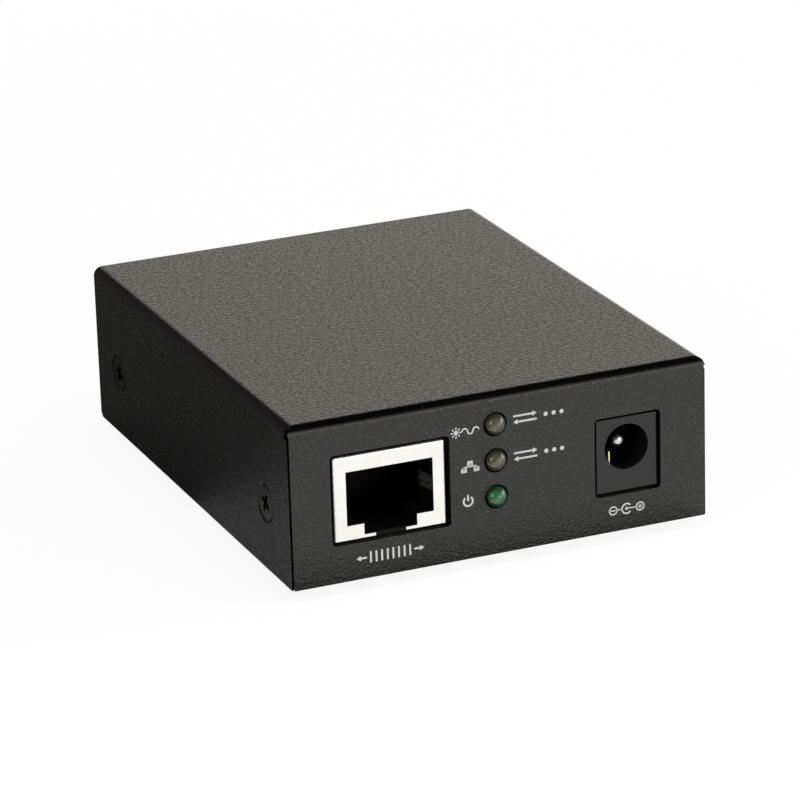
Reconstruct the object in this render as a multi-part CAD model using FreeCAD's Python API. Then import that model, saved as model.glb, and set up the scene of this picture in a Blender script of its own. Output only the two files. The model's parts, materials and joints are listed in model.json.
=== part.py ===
import FreeCAD, Part
import math
import os

# A fibre media converter: a folded steel cover over a folded steel tray, with one circuit board.
# Millimetres. X runs right along the front, Y from the front to the rear, Z up.
# The origin is on the ground, under the middle of the body.

# ---- Body ----
body_width = 60.0
body_depth = 75.0
body_height = 22.8            # from the underside of the tray to the top of the cover
sheet = 0.8                   # steel of the cover and the tray
bend_inside = 0.5             # inside radius of each fold
fit_gap = 0.15                # tray to cover
cover_lift = 0.2              # lower edge of the cover above the underside of the tray
seam_gap = 0.3                # open seam down each corner fold
relief_radius = 0.7           # round relief at the upper end of each front seam
relief_drop = 1.15            # middle of the relief below the top
relief_back = 0.6             # middle of the relief behind the front face
relief_lip = 0.04             # what the relief takes off the front panel
corner_radius = 1.0           # lower rear corners of the cover sides
flange_height = 13.0          # side flanges of the tray
flange_lead = 2.5             # slanted front end of each flange
window_radius = 0.6           # corners of the openings in the sheet

# ---- Feet ----
foot_radius = 4.0
foot_height = 1.5
foot_inset = 8.5              # from both outer faces to the middle of the foot

# ---- Screws ----
thread_radius = 1.5
thread_gap = 0.05             # screw to any hole that it is in
cover_head_radius = 2.7       # flat head, as deep as the cover's sheet
cover_screw_length = 4.0
cover_screw_height = 9.55     # above the underside of the tray
cover_screw_inset = 9.0       # from the front and rear faces
cover_screw_sink = 0.05       # head below the cover's outer face
pan_head_radius = 2.75
pan_head_height = 1.6
board_screw_length = 5.0      # below the head
screw_hole_gap = 0.15         # board screw to the hole in the board

# ---- Standoffs ----
standoff_height = 3.4
standoff_across_flats = 5.0
press_gap = 0.02              # between pieces that are pressed together
standoff_side_inset = 6.6     # from the outer side faces
standoff_rear_inset = 17.0    # from the rear face
standoff_front_inset = 9.0    # front standoff from the front face

# ---- Board ----
board_thickness = 1.6
board_side_gap = 0.5          # to the tray flanges
board_front_gap = 0.9         # to the inside of the front panel
board_rear_gap = 4.6          # to the inside of the rear panel
pin_hole_gap = 0.12           # pin to the hole in the board
pin_below = 0.9               # pins below the board

# ---- LAN socket, with its latch side down ----
lan_from_left = 14.2          # middle of the socket from the left face
lan_width = 16.0
lan_height = 11.75
lan_depth = 21.3
lan_recess = 0.4              # face of the socket behind the front face
lan_window_gap = 0.45
shield_sheet = 0.3
shield_fold = 0.4             # outside radius of the shield's folds
shield_gap = 0.03             # shield to moulding
port_width = 12.3
port_height = 7.5
port_floor = 1.95             # floor of the plug space above the board
key_width = 7.5               # space for the latch
key_height = 1.55
latch_slot_width = 4.3
port_depth = 13.5
contact_count = 8
contact_pitch = 1.02
contact_width = 0.4
contact_sheet = 0.35
contact_slot_gap = 0.1        # each side of a contact in its slot
contact_drop = 2.5            # free end below the roof of the port
contact_start = 2.6           # bend of the contact behind the socket's face
contact_reach = 7.4           # length of the slanted part along Y
contact_row_step = 2.54       # between the two rows of solder pins
contact_row_back = 3.4        # first row behind the rear wall of the port
tongue_height = 2.1           # earthing tongues in both sides of the port
tongue_length = 4.6
tongue_straight = 1.2         # before the bow
tongue_crest = 3.4            # middle of the bow behind the face
tongue_flat = 0.4             # half the length of the bow's crest
tongue_bow = 0.55
tongue_return = 0.4           # tip back from the crest
tongue_sheet = 0.2
tongue_lift = 3.65            # middle of a tongue above the floor of the port
tongue_room = 0.25
shield_tab_width = 1.5
shield_tab_back = 9.0         # board tabs of the shield behind its face

# ---- Lamps: a stack of three ----
led_from_left = 29.2
led_radius = 1.5
led_length = 5.6
led_dome_radius = 2.0
led_proud = 1.25              # tip of the lens ahead of the front face
led_hole_gap = 0.2
led_pitch = 5.08
led_count = 3
led_first_height = 2.5        # lowest lamp above the board
led_lead_pitch = 2.54
led_lead = 0.5                # square wire
led_lead_step = 1.9           # between the rows of leads
led_lead_back = 1.6           # first row behind the lens
holder_width = 4.8
holder_gap = 0.4              # holder to the inside of the front panel
holder_bore_gap = 0.05
holder_roof = 2.5             # holder above the middle of the top lamp

# ---- Power socket ----
dc_from_right = 11.6          # middle of the socket from the right face
dc_width = 8.8
dc_height = 10.3
dc_depth = 14.2
dc_recess = 0.4
dc_window_gap = 0.45
dc_face_depth = 3.4           # the square front part
dc_barrel_inset = 0.3         # barrel narrower than the front part, each side
dc_bore_radius = 3.2
dc_bore_height = 6.1          # above the board
dc_bore_depth = 10.0
dc_pin_radius = 1.0
dc_pin_tail_radius = 0.6      # where it is pressed through the back wall
dc_pin_recess = 2.1
dc_blade = 0.4                # thickness of the terminals
dc_blade_width = 2.0
dc_spring_bow = 1.4           # crest of the sleeve spring inside the wall of the bore
dc_spring_drop = 1.8          # middle of the spring below the pin
dc_spring_tip = 1.2           # free end behind the face
dc_spring_flare = 0.2         # free end back from the crest
dc_spring_gap = 0.1
dc_switch_back = 6.3          # switch terminal behind the face
dc_switch_rise = 1.6          # switch terminal in the moulding

# ---- Transceiver cage at the rear ----
cage_from_middle = 0.0        # middle of the cage to the right of the body's middle
cage_width = 14.0
cage_height = 9.7
cage_length = 48.7
cage_sheet = 0.25
cage_proud = 0.8              # behind the rear face
cage_pin_count = 5
cage_pin_width = 1.0
cage_pin_start = 4.0          # first pin from the inner end
cage_pin_pitch = 8.5
finger_room = 0.6             # cage to the edge of the rear opening
finger_bow = 0.5
finger_sheet = 0.12
finger_width = 2.2
finger_pitch = 3.1
finger_ring = 0.8             # closed part of the finger ring along Y
finger_length = 3.7
top_finger_count = 4
side_finger_count = 2
catch_width = 5.6             # sprung catch in the floor of the cage
catch_length = 8.0
catch_rise = 0.6
catch_slot = 0.4
catch_window = 2.6
catch_inset = 3.0             # tip of the catch from the mouth of the cage
edge_socket_width = 11.6      # board-edge connector inside the cage
edge_socket_height = 5.2
edge_socket_depth = 8.6
edge_socket_back = 1.4        # behind it to the end of the cage
edge_slot_width = 9.4
edge_slot_height = 1.7
edge_slot_lift = 2.6
edge_slot_depth = 6.0
edge_contact_count = 10
edge_contact_pitch = 0.8
edge_contact_width = 0.3
edge_contact_sheet = 0.2

# ---- Board parts ----
part_gap = 3.0                # between neighbours on the board
cage_gap = 1.5                # from the cage to the parts beside it
transformer_width = 15.0
transformer_depth = 7.4
transformer_height = 5.4
transformer_lift = 0.3
transformer_pin_count = 6
transformer_pin_pitch = 2.0
transformer_pin_width = 0.6
transformer_pin_sheet = 0.25
transformer_pin_reach = 1.5
chip_size = 9.0
chip_height = 0.9
chip_bevel = 0.15
crystal_length = 5.0
crystal_width = 3.2
crystal_base_height = 0.7
crystal_rim = 0.25
crystal_height = 1.1
memory_length = 4.9
memory_width = 3.9
memory_height = 1.4
memory_lift = 0.15
memory_pin_count = 4
memory_pin_pitch = 1.27
memory_pin_width = 0.42
memory_pin_sheet = 0.2
memory_pin_reach = 1.0
regulator_length = 6.5
regulator_width = 3.5
regulator_height = 1.6
regulator_tab = 3.0
regulator_tab_sheet = 0.3
inductor_size = 7.3
inductor_height = 4.0
inductor_corner = 1.6
inductor_core_radius = 2.7
inductor_core_rise = 0.2
capacitor_radius = 3.15
capacitor_height = 7.7
capacitor_base = 6.6
capacitor_base_height = 1.2

# ---- Places that follow from the sizes ----
overrun = 1.0                 # cutting tools run this far past the face
bend_outside = bend_inside + sheet
countersink_depth = sheet + fit_gap - cover_screw_sink
left_face = -body_width / 2
right_face = body_width / 2
front_face = -body_depth / 2
rear_face = body_depth / 2
base_plane = foot_height
top_face = base_plane + body_height
cover_edge = base_plane + cover_lift
front_inside = front_face + sheet
rear_inside = rear_face - sheet
tray_left = left_face + sheet + fit_gap
tray_right = right_face - sheet - fit_gap
tray_front = front_inside + fit_gap
tray_top = base_plane + sheet
rear_panel_top = top_face - sheet - fit_gap
board_bottom = tray_top + standoff_height
board_top = board_bottom + board_thickness
board_left = tray_left + sheet + board_side_gap
board_right = tray_right - sheet - board_side_gap
board_front = front_inside + board_front_gap
board_rear = rear_inside - board_rear_gap
pin_tip = board_bottom - pin_below

lan_x = left_face + lan_from_left
lan_front = front_face + lan_recess
lan_rear = lan_front + lan_depth
lan_top = board_top + lan_height
port_floor_z = board_top + port_floor
port_roof_z = port_floor_z + port_height
port_end = lan_front + port_depth

led_x = left_face + led_from_left
led_tip = front_face - led_proud
led_back = led_tip + led_length
led_heights = [board_top + led_first_height + i * led_pitch for i in range(led_count)]

dc_x = right_face - dc_from_right
dc_front = front_face + dc_recess
dc_rear = dc_front + dc_depth
dc_axis_z = board_top + dc_bore_height

cage_x = cage_from_middle
cage_mouth = rear_face + cage_proud
cage_end = cage_mouth - cage_length
cage_top = board_top + cage_height
edge_socket_rear = cage_end + cage_sheet + edge_socket_back
edge_socket_face = edge_socket_rear + edge_socket_depth

front_standoff_x = (led_x + holder_width / 2 + dc_x - dc_width / 2) / 2
standoff_places = [
    (front_standoff_x, front_face + standoff_front_inset),
    (left_face + standoff_side_inset, rear_face - standoff_rear_inset),
    (right_face - standoff_side_inset, rear_face - standoff_rear_inset),
]
cover_screw_rows = [front_face + cover_screw_inset, rear_face - cover_screw_inset]


# ---- Helpers ----
def vector(point):
    return FreeCAD.Vector(*point)


def block(x_range, y_range, z_range):
    sizes = [high - low for low, high in (x_range, y_range, z_range)]
    return Part.makeBox(*sizes, vector((x_range[0], y_range[0], z_range[0])))


def centred_block(x, y, width, depth, z_range):
    return block((x - width / 2, x + width / 2), (y - depth / 2, y + depth / 2), z_range)


def rod(radius, start, end):
    direction = vector(end) - vector(start)
    return Part.makeCylinder(radius, direction.Length, vector(start), direction)


def join(pieces):
    whole = pieces[0]
    for piece in pieces[1:]:
        whole = whole.fuse(piece)
    return whole.removeSplitter()


def lies_on(edge, plane):
    axis, value = plane
    box = edge.BoundBox
    low, high = {"x": (box.XMin, box.XMax), "y": (box.YMin, box.YMax), "z": (box.ZMin, box.ZMax)}[axis]
    return abs(low - value) < 1e-4 and abs(high - value) < 1e-4


def round_edges(solid, radius, plane_pairs):
    """Round each straight edge that lies on both planes of one of the pairs."""
    edges = []
    for first, second in plane_pairs:
        edges += [edge for edge in solid.Edges if lies_on(edge, first) and lies_on(edge, second)]
    return solid.makeFillet(radius, edges)


def upright_corners(x_range, y_range):
    return [(("x", x), ("y", y)) for x in x_range for y in y_range]


def prism(points, direction):
    corners = [vector(point) for point in points]
    face = Part.Face(Part.makePolygon(corners + corners[:1]))
    return face.extrude(vector(direction))


def hexagon(x, y, across_flats, z_range):
    corner = across_flats / math.sqrt(3)
    angles = [math.radians(60 * i) for i in range(6)]
    points = [(x + corner * math.cos(a), y + corner * math.sin(a), z_range[0]) for a in angles]
    return prism(points, (0, 0, z_range[1] - z_range[0]))


def window(x, z_range, width, radius, y_range):
    """A hole through a panel that faces front or rear, with rounded corners."""
    x_range = (x - width / 2, x + width / 2)
    hole = block(x_range, y_range, z_range)
    pairs = [(("x", side), ("z", level)) for side in x_range for level in z_range]
    return round_edges(hole, radius, pairs)


def in_side_plane(x):
    """Paths of (y, z) points, with the width of the strip along X."""
    return lambda u, v, w: vector((x + w, u, v))


def in_level_plane(z):
    """Paths of (x, y) points, with the width of the strip along Z."""
    return lambda u, v, w: vector((u, v, z + w))


def strip(path, thickness, width, place):
    """A folded strip whose middle line is the path."""
    steps = [(b[0] - a[0], b[1] - a[1]) for a, b in zip(path, path[1:])]
    normals = [(-dv / math.hypot(du, dv), du / math.hypot(du, dv)) for du, dv in steps]
    outer = []
    inner = []
    for i, (u, v) in enumerate(path):
        before = normals[max(i - 1, 0)]
        after = normals[min(i, len(normals) - 1)]
        share = 1 + before[0] * after[0] + before[1] * after[1]
        mitre = [(p + q) / share * thickness / 2 for p, q in zip(before, after)]
        outer.append((u + mitre[0], v + mitre[1]))
        inner.append((u - mitre[0], v - mitre[1]))
    outline = [place(u, v, -width / 2) for u, v in outer + inner[::-1]]
    face = Part.Face(Part.makePolygon(outline + outline[:1]))
    return face.extrude(place(0, 0, width / 2) - place(0, 0, -width / 2))


def row(count, pitch):
    """Offsets of equally spaced things about their middle."""
    return [(i - (count - 1) / 2) * pitch for i in range(count)]


# ---- Cover and tray ----
def cover_screw(side, y):
    """A flat-headed screw at one side."""
    start = vector((side * (body_width / 2 - cover_screw_sink), y, base_plane + cover_screw_height))
    inward = vector((-side, 0, 0))
    head = Part.makeCone(cover_head_radius, thread_radius, countersink_depth, start, inward)
    shank = Part.makeCylinder(thread_radius, cover_screw_length, start, inward)
    return head.fuse(shank).removeSplitter()


def countersink(side, y):
    """The conical hole in the cover for a screw's head, carried on past the outer face."""
    slope = (cover_head_radius - thread_radius) / countersink_depth
    above = overrun + cover_screw_sink
    start = vector((side * (body_width / 2 + overrun), y, base_plane + cover_screw_height))
    wide = cover_head_radius + thread_gap + slope * above
    return Part.makeCone(wide, thread_radius + thread_gap, above + countersink_depth, start,
                         vector((-side, 0, 0)))


def front_seam(side):
    """The open mitre down a front corner, up to the middle of its relief."""
    corner_x = side * body_width / 2
    half = seam_gap / (2 * math.sqrt(2))
    low = cover_edge - overrun
    return prism([
        (corner_x + side * (overrun - half), front_face - overrun - half, low),
        (corner_x + side * (overrun + half), front_face - overrun + half, low),
        (corner_x - side * (bend_outside - half), front_face + bend_outside + half, low),
        (corner_x - side * (bend_outside + half), front_face + bend_outside - half, low),
    ], (0, 0, top_face - relief_drop - low))


def corner_relief(side):
    """The round end of a front seam: through the side, with a narrow lip off the front."""
    corner_x = side * body_width / 2
    y = front_face + relief_back
    z = top_face - relief_drop
    reach = bend_outside
    punch = rod(relief_radius, (corner_x + side * overrun, y, z), (corner_x - side * reach, y, z))
    low = z - relief_radius - overrun
    ahead = prism([
        (corner_x + side * (overrun - relief_lip), front_face - overrun, low),
        (corner_x - side * (reach + overrun + relief_lip), front_face - overrun, low),
        (corner_x - side * (reach + overrun + relief_lip), front_face + reach + overrun, low),
    ], (0, 0, 2 * (relief_radius + overrun)))
    return punch.cut(ahead)


def cover_rear_corner(side):
    """What is cut off the lower rear corner of a cover side to round it."""
    wall = (side * body_width / 2 - sheet, side * body_width / 2 + sheet)
    y_mid = rear_face - corner_radius
    z_mid = cover_edge + corner_radius
    square = block(wall, (y_mid, rear_face + overrun), (cover_edge - overrun, z_mid))
    kept = rod(corner_radius, (wall[0] - overrun, y_mid, z_mid), (wall[1] + overrun, y_mid, z_mid))
    return square.cut(kept)


def cover():
    """Top, sides and front panel, folded from one sheet."""
    outer = block((left_face, right_face), (front_face, rear_face), (cover_edge, top_face))
    outer = round_edges(outer, bend_outside, [
        (("x", left_face), ("z", top_face)),
        (("x", right_face), ("z", top_face)),
        (("y", front_face), ("z", top_face)),
    ])
    inner_x = (left_face + sheet, right_face - sheet)
    inner_top = top_face - sheet
    inner = block(inner_x, (front_inside, rear_face + overrun), (cover_edge - overrun, inner_top))
    inner = round_edges(inner, bend_inside, [
        (("x", inner_x[0]), ("z", inner_top)),
        (("x", inner_x[1]), ("z", inner_top)),
        (("y", front_inside), ("z", inner_top)),
    ])
    shell = outer.cut(inner)
    through = (front_face - overrun, front_inside + overrun)
    lan_levels = (board_top - lan_window_gap, lan_top + lan_window_gap)
    shell = shell.cut(window(lan_x, lan_levels, lan_width + 2 * lan_window_gap, window_radius, through))
    dc_levels = (board_top - dc_window_gap, board_top + dc_height + dc_window_gap)
    shell = shell.cut(window(dc_x, dc_levels, dc_width + 2 * dc_window_gap, window_radius, through))
    for z in led_heights:
        shell = shell.cut(rod(led_radius + led_hole_gap, (led_x, through[0], z), (led_x, through[1], z)))
    for side in (-1, 1):
        for y in cover_screw_rows:
            shell = shell.cut(countersink(side, y))
        shell = shell.cut(front_seam(side))
        shell = shell.cut(corner_relief(side))
        shell = shell.cut(cover_rear_corner(side))
    return shell


def tray_flange_trim(side):
    """What is cut away above one side flange, with its slanted front end."""
    x = side * (tray_right + overrun)
    reach = -side * (sheet + bend_inside + overrun)
    top = base_plane + flange_height
    clear = rear_panel_top + overrun
    return prism([
        (x, tray_front - overrun, top - flange_lead - overrun),
        (x, tray_front + flange_lead, top),
        (x, rear_inside, top),
        (x, rear_inside, clear),
        (x, tray_front - overrun, clear),
    ], (reach, 0, 0))


def tray_rear_corner(side):
    """The square relief and the seam where a side flange meets the rear panel."""
    edge = side * (tray_right + overrun)
    inner = side * (tray_right - bend_outside)
    relief_x = (min(edge, inner), max(edge, inner))
    relief = block(relief_x, (rear_face - bend_outside, rear_face + overrun),
                   (base_plane - overrun, base_plane + bend_outside))
    wall = side * (tray_right - sheet)
    seam_x = (min(edge, wall), max(edge, wall))
    seam = block(seam_x, (rear_inside - seam_gap, rear_inside),
                 (base_plane - overrun, base_plane + flange_height + overrun))
    return relief.fuse(seam)


def tapped_hole(side, y):
    """The hole in a side flange for a cover screw."""
    z = base_plane + cover_screw_height
    outside = side * (tray_right + overrun)
    inside = side * (tray_right - sheet - overrun)
    return rod(thread_radius + thread_gap, (outside, y, z), (inside, y, z))


def rear_window():
    """The opening for the cage and its spring fingers."""
    levels = (board_top - finger_room, cage_top + finger_room)
    through = (rear_inside - overrun, rear_face + overrun)
    return window(cage_x, levels, cage_width + 2 * finger_room, window_radius, through)


def base_tray():
    """Bottom, side flanges and rear panel, folded from one sheet."""
    outer = block((tray_left, tray_right), (tray_front, rear_face), (base_plane, rear_panel_top))
    outer = round_edges(outer, bend_outside, [
        (("x", tray_left), ("z", base_plane)),
        (("x", tray_right), ("z", base_plane)),
        (("y", rear_face), ("z", base_plane)),
    ])
    inner_x = (tray_left + sheet, tray_right - sheet)
    inner = block(inner_x, (tray_front - overrun, rear_inside), (tray_top, rear_panel_top + overrun))
    inner = round_edges(inner, bend_inside, [
        (("x", inner_x[0]), ("z", tray_top)),
        (("x", inner_x[1]), ("z", tray_top)),
        (("y", rear_inside), ("z", tray_top)),
    ])
    tray = outer.cut(inner)
    for side in (-1, 1):
        tray = tray.cut(tray_flange_trim(side))
        tray = tray.cut(tray_rear_corner(side))
        for y in cover_screw_rows:
            tray = tray.cut(tapped_hole(side, y))
    through = (base_plane - overrun, tray_top + overrun)
    for x, y in standoff_places:
        tray = tray.cut(hexagon(x, y, standoff_across_flats + 2 * press_gap, through))
    return tray.cut(rear_window()).removeSplitter()


def cover_screws():
    return [cover_screw(side, y) for side in (-1, 1) for y in cover_screw_rows]


def foot(x, y):
    """A stick-on rubber foot."""
    return rod(foot_radius, (x, y, 0), (x, y, foot_height))


# ---- Standoffs and board ----
def standoff(x, y):
    """A hexagonal tapped spacer, pressed flush through the tray."""
    body = hexagon(x, y, standoff_across_flats, (base_plane, board_bottom))
    return body.cut(rod(thread_radius + thread_gap, (x, y, base_plane - overrun),
                        (x, y, board_bottom + overrun)))


def board_screw(x, y):
    """A screw through the board into its standoff."""
    head = rod(pan_head_radius, (x, y, board_top), (x, y, board_top + pan_head_height))
    return head.fuse(rod(thread_radius, (x, y, board_top - board_screw_length), (x, y, board_top)))


def main_board():
    """The board, with round holes for its screws and a slot for each pin."""
    board = block((board_left, board_right), (board_front, board_rear), (board_bottom, board_top))
    through = (board_bottom - overrun, board_top + overrun)
    holes = []
    for x, y in standoff_places:
        holes.append(rod(thread_radius + screw_hole_gap, (x, y, through[0]), (x, y, through[1])))
    pins = [(x, y, contact_width, contact_sheet) for x, y in lan_pin_places()]
    pins += [(x, y, shield_sheet, shield_tab_width) for x, y in shield_tab_places()]
    pins += [(x, y, led_lead, led_lead) for x, y, z in led_lead_places()]
    pins += dc_terminals()
    pins += [(x, y, cage_sheet, cage_pin_width) for x, y in cage_pin_places()]
    for x, y, width, depth in pins:
        holes.append(centred_block(x, y, width + 2 * pin_hole_gap, depth + 2 * pin_hole_gap, through))
    return board.cut(holes)


# ---- LAN socket ----
def lan_pin_places():
    """Solder pins, in two rows with every second contact further back."""
    first = port_end + contact_row_back
    offsets = row(contact_count, contact_pitch)
    return [(lan_x + offset, first + (i % 2) * contact_row_step) for i, offset in enumerate(offsets)]


def shield_tab_places():
    y = lan_front + shield_tab_back
    edge = lan_width / 2 - shield_sheet / 2
    return [(lan_x - edge, y), (lan_x + edge, y)]


def port_profile(y_range, gap):
    """The plug space with its latch key, wider all round by the gap."""
    half = port_width / 2 - gap
    plug = block((lan_x - half, lan_x + half), y_range, (port_floor_z, port_roof_z))
    key_half = key_width / 2 - gap
    key = block((lan_x - key_half, lan_x + key_half), y_range, (port_floor_z - key_height, port_roof_z))
    return plug.fuse(key)


def earthing_tongue(side):
    """A bowed spring that turns back into the port from the front of the shield."""
    root = lan_x + side * (port_width / 2 + tongue_sheet / 2)
    crest = root - side * tongue_bow
    z = port_floor_z + tongue_lift
    path = [
        (root, lan_front),
        (root, lan_front + tongue_straight),
        (crest, lan_front + tongue_crest - tongue_flat),
        (crest, lan_front + tongue_crest + tongue_flat),
        (crest + side * tongue_return, lan_front + tongue_length),
    ]
    return strip(path, tongue_sheet, tongue_height, in_level_plane(z))


def lan_jack_shield():
    """Front, top, sides and back, folded from thin plated sheet, and open below."""
    x_range = (lan_x - lan_width / 2, lan_x + lan_width / 2)
    shell = block(x_range, (lan_front, lan_rear), (board_top, lan_top))
    shell = round_edges(shell, shield_fold, [
        (("x", x_range[0]), ("y", lan_front)),
        (("x", x_range[1]), ("y", lan_front)),
        (("z", lan_top), ("y", lan_front)),
        (("x", x_range[0]), ("z", lan_top)),
        (("x", x_range[1]), ("z", lan_top)),
    ])
    inside_x = (x_range[0] + shield_sheet, x_range[1] - shield_sheet)
    inside_y = (lan_front + shield_sheet, lan_rear - shield_sheet)
    shell = shell.cut(block(inside_x, inside_y, (board_top - overrun, lan_top - shield_sheet)))
    face = (lan_front - overrun, lan_front + shield_sheet + overrun)
    shell = shell.cut(port_profile(face, 0))
    below = (board_top - overrun, port_floor_z)
    shell = shell.cut(centred_block(lan_x, lan_front, latch_slot_width, 2 * overrun, below))
    pieces = [shell]
    tab_levels = (pin_tip, board_top + shield_sheet)
    for x, y in shield_tab_places():
        pieces.append(centred_block(x, y, shield_sheet, shield_tab_width, tab_levels))
    pieces += [earthing_tongue(side) for side in (-1, 1)]
    return join(pieces)


def contact_path(y_pin):
    """From the solder pin up behind the port, along its roof, and back down into it."""
    rail = port_roof_z + contact_sheet
    bend = lan_front + contact_start
    return [
        (y_pin, pin_tip),
        (y_pin, rail),
        (bend, rail),
        (bend + contact_sheet, port_roof_z - contact_sheet),
        (bend + contact_reach, port_roof_z - contact_drop),
    ]


def lan_contact(x, y_pin):
    return strip(contact_path(y_pin), contact_sheet, contact_width, in_side_plane(x))


def contact_slot(x, y_pin):
    """The groove in the moulding for one contact: up its back wall and along the roof."""
    half = contact_width / 2 + contact_slot_gap
    room = contact_sheet / 2 + contact_slot_gap
    roof = port_roof_z + contact_sheet + room
    upright = block((x - half, x + half), (y_pin - room, y_pin + room), (board_top - overrun, roof))
    start = lan_front + contact_start - room - contact_slot_gap
    rail = block((x - half, x + half), (start, y_pin), (port_roof_z - contact_slot_gap, roof))
    return upright.fuse(rail)


def lan_jack_housing():
    """The black moulding inside the shield."""
    margin = shield_sheet + shield_gap
    x_range = (lan_x - lan_width / 2 + margin, lan_x + lan_width / 2 - margin)
    y_range = (lan_front + margin, lan_rear - margin)
    body = block(x_range, y_range, (board_top, lan_top - margin))
    body = body.cut(port_profile((y_range[0] - overrun, port_end), shield_gap))
    pocket_half = port_width / 2 + tongue_sheet + tongue_room
    z = port_floor_z + tongue_lift
    pocket_rise = tongue_height / 2 + tongue_room
    body = body.cut(block((lan_x - pocket_half, lan_x + pocket_half),
                          (y_range[0] - overrun, lan_front + tongue_length + tongue_room),
                          (z - pocket_rise, z + pocket_rise)))
    for x, y in lan_pin_places():
        body = body.cut(contact_slot(x, y))
    return body


# ---- Lamps ----
def led_lead_places():
    """Each pair of leads with its row further back for each higher lamp, and the lamp's height."""
    places = []
    for i, z in enumerate(led_heights):
        y = led_back + led_lead_back + i * led_lead_step
        places += [(led_x + side * led_lead_pitch / 2, y, z) for side in (-1, 1)]
    return places


def led_lens(z):
    """A round-nosed lens, turned about its axis."""
    middle = led_tip + led_dome_radius
    shoulder = middle - math.sqrt(led_dome_radius ** 2 - led_radius ** 2)
    ball = Part.makeSphere(led_dome_radius, vector((led_x, middle, z)))
    shaft = rod(led_radius, (led_x, led_tip - overrun, z), (led_x, led_back, z))
    nose = shaft.common(ball)
    body = rod(led_radius, (led_x, shoulder, z), (led_x, led_back, z))
    return join([nose, body])


def led_leads():
    """Square wires that leave each lens and turn down through the board."""
    leads = []
    for x, y, z in led_lead_places():
        leads.append(strip([(led_back, z), (y, z), (y, pin_tip)], led_lead, led_lead, in_side_plane(x)))
    return leads


def led_holder():
    """A moulded block that stacks the lamps above the board."""
    front = front_inside + holder_gap
    top = led_heights[-1] + holder_roof
    x_range = (led_x - holder_width / 2, led_x + holder_width / 2)
    body = block(x_range, (front, led_back), (board_top, top))
    for z in led_heights:
        ends = [(led_x, y, z) for y in (front - overrun, led_back + overrun)]
        body = body.cut(rod(led_radius + holder_bore_gap, *ends))
    return body


# ---- Power socket ----
def dc_terminals():
    """Each terminal's x and y with its width and depth: pin at the rear, spring, switch below."""
    spring_x = dc_x - dc_width / 2 + dc_barrel_inset - dc_blade
    return [
        (dc_x, dc_rear + dc_blade / 2, dc_blade_width, dc_blade),
        (spring_x, dc_front + dc_bore_depth, dc_blade / 2, dc_blade_width),
        (dc_x, dc_front + dc_switch_back, dc_blade_width, dc_blade),
    ]


def dc_jack_housing():
    """A square face and a round-topped barrel, bored for the plug."""
    x_range = (dc_x - dc_width / 2, dc_x + dc_width / 2)
    face = block(x_range, (dc_front, dc_front + dc_face_depth), (board_top, board_top + dc_height))
    barrel_radius = min(dc_width / 2 - dc_barrel_inset, dc_height - dc_bore_height)
    half = dc_width / 2 - dc_barrel_inset
    foot_block = block((dc_x - half, dc_x + half), (dc_front, dc_rear), (board_top, dc_axis_z))
    barrel = rod(barrel_radius, (dc_x, dc_front, dc_axis_z), (dc_x, dc_rear, dc_axis_z))
    body = join([face, foot_block, barrel])
    bore_end = dc_front + dc_bore_depth
    mouth = (dc_x, dc_front - overrun, dc_axis_z)
    body = body.cut(rod(dc_bore_radius, mouth, (dc_x, bore_end, dc_axis_z)))
    body = body.cut(rod(dc_pin_tail_radius + press_gap, mouth, (dc_x, dc_rear + overrun, dc_axis_z)))
    slot_half = dc_blade_width / 2 + dc_spring_gap
    spring_z = dc_axis_z - dc_spring_drop
    slot_levels = (spring_z - slot_half, spring_z + slot_half)
    slot_x = dc_x - dc_bore_radius / 2
    face_back = dc_front + dc_face_depth
    body = body.cut(block((x_range[0] - overrun, slot_x), (face_back, bore_end + dc_blade), slot_levels))
    body = body.cut(block((dc_x - dc_bore_radius, slot_x),
                          (dc_front + dc_spring_tip - dc_spring_gap, face_back + overrun), slot_levels))
    switch_y = dc_front + dc_switch_back
    room = dc_blade / 2 + dc_spring_gap
    return body.cut(block((dc_x - slot_half, dc_x + slot_half), (switch_y - room, switch_y + room),
                          (board_top - overrun, board_top + dc_switch_rise + dc_spring_gap)))


def dc_jack_pin():
    """The centre pin, whose thinner tail is pressed through the back wall up to its terminal."""
    bore_end = (dc_x, dc_front + dc_bore_depth, dc_axis_z)
    pin = rod(dc_pin_radius, (dc_x, dc_front + dc_pin_recess, dc_axis_z), bore_end)
    return join([pin, rod(dc_pin_tail_radius, bore_end, (dc_x, dc_rear, dc_axis_z))])


def dc_pin_terminal():
    """A flat blade behind the socket, against the end of the pin."""
    x, y, width, depth = dc_terminals()[0]
    return centred_block(x, y, width, depth, (pin_tip, dc_axis_z + dc_blade_width / 2))


def dc_jack_spring():
    """The sleeve spring: bowed into the bore beside the pin, with its leg down to the board."""
    x, y, thickness, width = dc_terminals()[1]
    crest = dc_x - dc_bore_radius + dc_spring_bow
    tip_y = dc_front + dc_spring_tip
    z = dc_axis_z - dc_spring_drop
    leaf = strip([
        (x, y + width / 2),
        (x, y - width / 2),
        (crest, dc_front + dc_face_depth),
        (crest, tip_y + width / 2),
        (crest - dc_spring_flare, tip_y),
    ], thickness, width, in_level_plane(z))
    leg = centred_block(x, y, thickness, width, (pin_tip, z + width / 2))
    return join([leaf, leg])


def dc_switch_terminal():
    x, y, width, depth = dc_terminals()[2]
    return centred_block(x, y, width, depth, (pin_tip, board_top + dc_switch_rise))


# ---- Transceiver cage ----
def cage_pin_places():
    edge = cage_width / 2 - cage_sheet / 2
    rows = [cage_end + cage_pin_start + i * cage_pin_pitch for i in range(cage_pin_count)]
    return [(cage_x + side * edge, y) for side in (-1, 1) for y in rows]


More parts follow.
